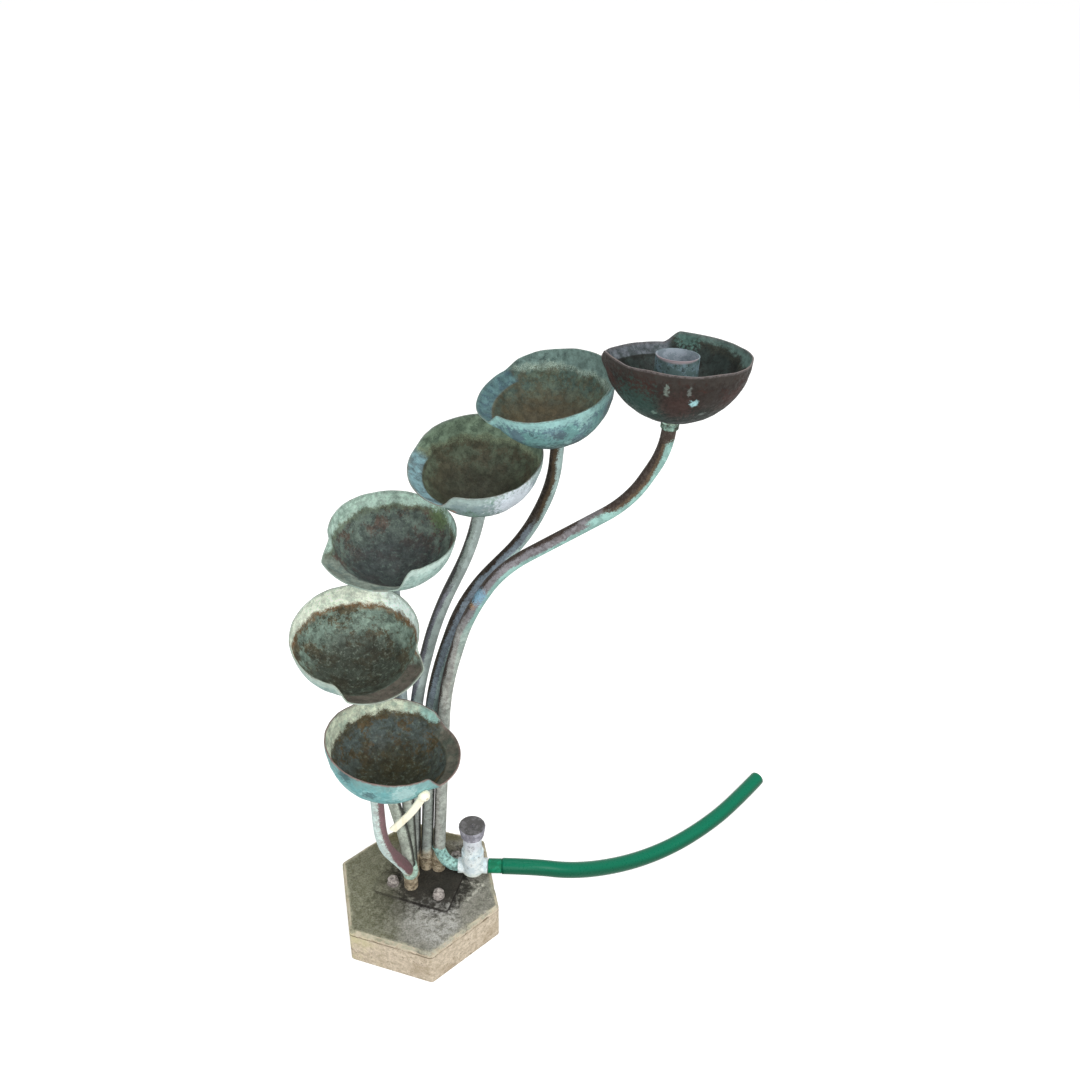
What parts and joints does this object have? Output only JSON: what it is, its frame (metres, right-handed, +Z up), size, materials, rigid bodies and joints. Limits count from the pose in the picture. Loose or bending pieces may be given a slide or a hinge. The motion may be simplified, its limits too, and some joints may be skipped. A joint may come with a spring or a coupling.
{
  "type": "garden cascade fountain",
  "caption": "Garden water cascade: slit-lipped copper bowls on bent copper tubes, one above another, rising from a plate on a hexagonal concrete paver with a shut-off valve and hose",
  "frame": {"origin": "centre of the paver's underside, on the surface that the fountain stands on", "axes": "+Z up; +X along the shut-off valve, from the feed pipe towards the hose; +Y away from the low side of the cascade, towards its back"},
  "size_m": [0.6435, 0.4004, 0.8494],
  "materials": {
    "bowl_copper": "hammered sheet copper, weathered to brown and verdigris",
    "tube_copper": "drawn copper tube, brown with pale blue-green runs",
    "fitting_copper": "soldered copper fittings, tan and pale green",
    "concrete": "weathered cast concrete, olive on top and beige on the sides",
    "plate_steel": "dull grey-brown weathered steel",
    "fastener_steel": "weathered zinc",
    "valve_brass": "cast brass under a chalky white-blue crust",
    "knob_grey": "grey ribbed casting, worn",
    "black_rubber": "soft black rubber",
    "green_sleeve": "moulded green plastic",
    "green_hose": "smooth emerald green hose",
    "ivory_plastic": "ivory plastic"
  },
  "bodies": {
    "root": {"anchor_studs": "fastener_steel", "base_block": "concrete", "base_plate": "plate_steel", "bowl_1": "bowl_copper", "bowl_2": "bowl_copper", "bowl_3": "bowl_copper", "bowl_4": "bowl_copper", "bowl_5": "bowl_copper", "bowl_6": "bowl_copper", "bowl_collars": "fitting_copper", "drip_spout": "ivory_plastic", "feed_branch": "tube_copper", "feed_cup": "fitting_copper", "feed_nut": "fitting_copper", "foot_sockets": "fitting_copper", "garden_hose": "green_hose", "hose_sleeve": "green_sleeve", "hose_tail": "valve_brass", "packing_ring": "black_rubber", "plate_nuts": "fastener_steel", "plate_washers": "fastener_steel", "stem_1": "tube_copper", "stem_2": "tube_copper", "stem_3": "tube_copper", "stem_4": "tube_copper", "stem_5": "tube_copper", "stem_6": "tube_copper", "valve_body": "valve_brass", "valve_bonnet": "valve_brass"},
    "jumper": {"valve_disc": "valve_brass", "valve_washer": "black_rubber"},
    "handwheel": {"valve_spindle": "valve_brass", "valve_knob": "knob_grey", "knob_screw": "fastener_steel"}
  },
  "joints": [
    {"name": "valve_lift", "type": "slide", "parent": "root", "child": "jumper", "axis": [0, 0, 1], "range_m": [0, 0.004]},
    {"name": "knob_turn", "type": "hinge", "parent": "jumper", "child": "handwheel", "pos_m": [0.072, 0.02, 0.14], "axis": [0, 0, 1], "range_deg": [0, 720]}
  ],
  "couplings": [
    {"joint": "knob_turn", "follows": "valve_lift", "rad_per_m": 3141.6}
  ]
}
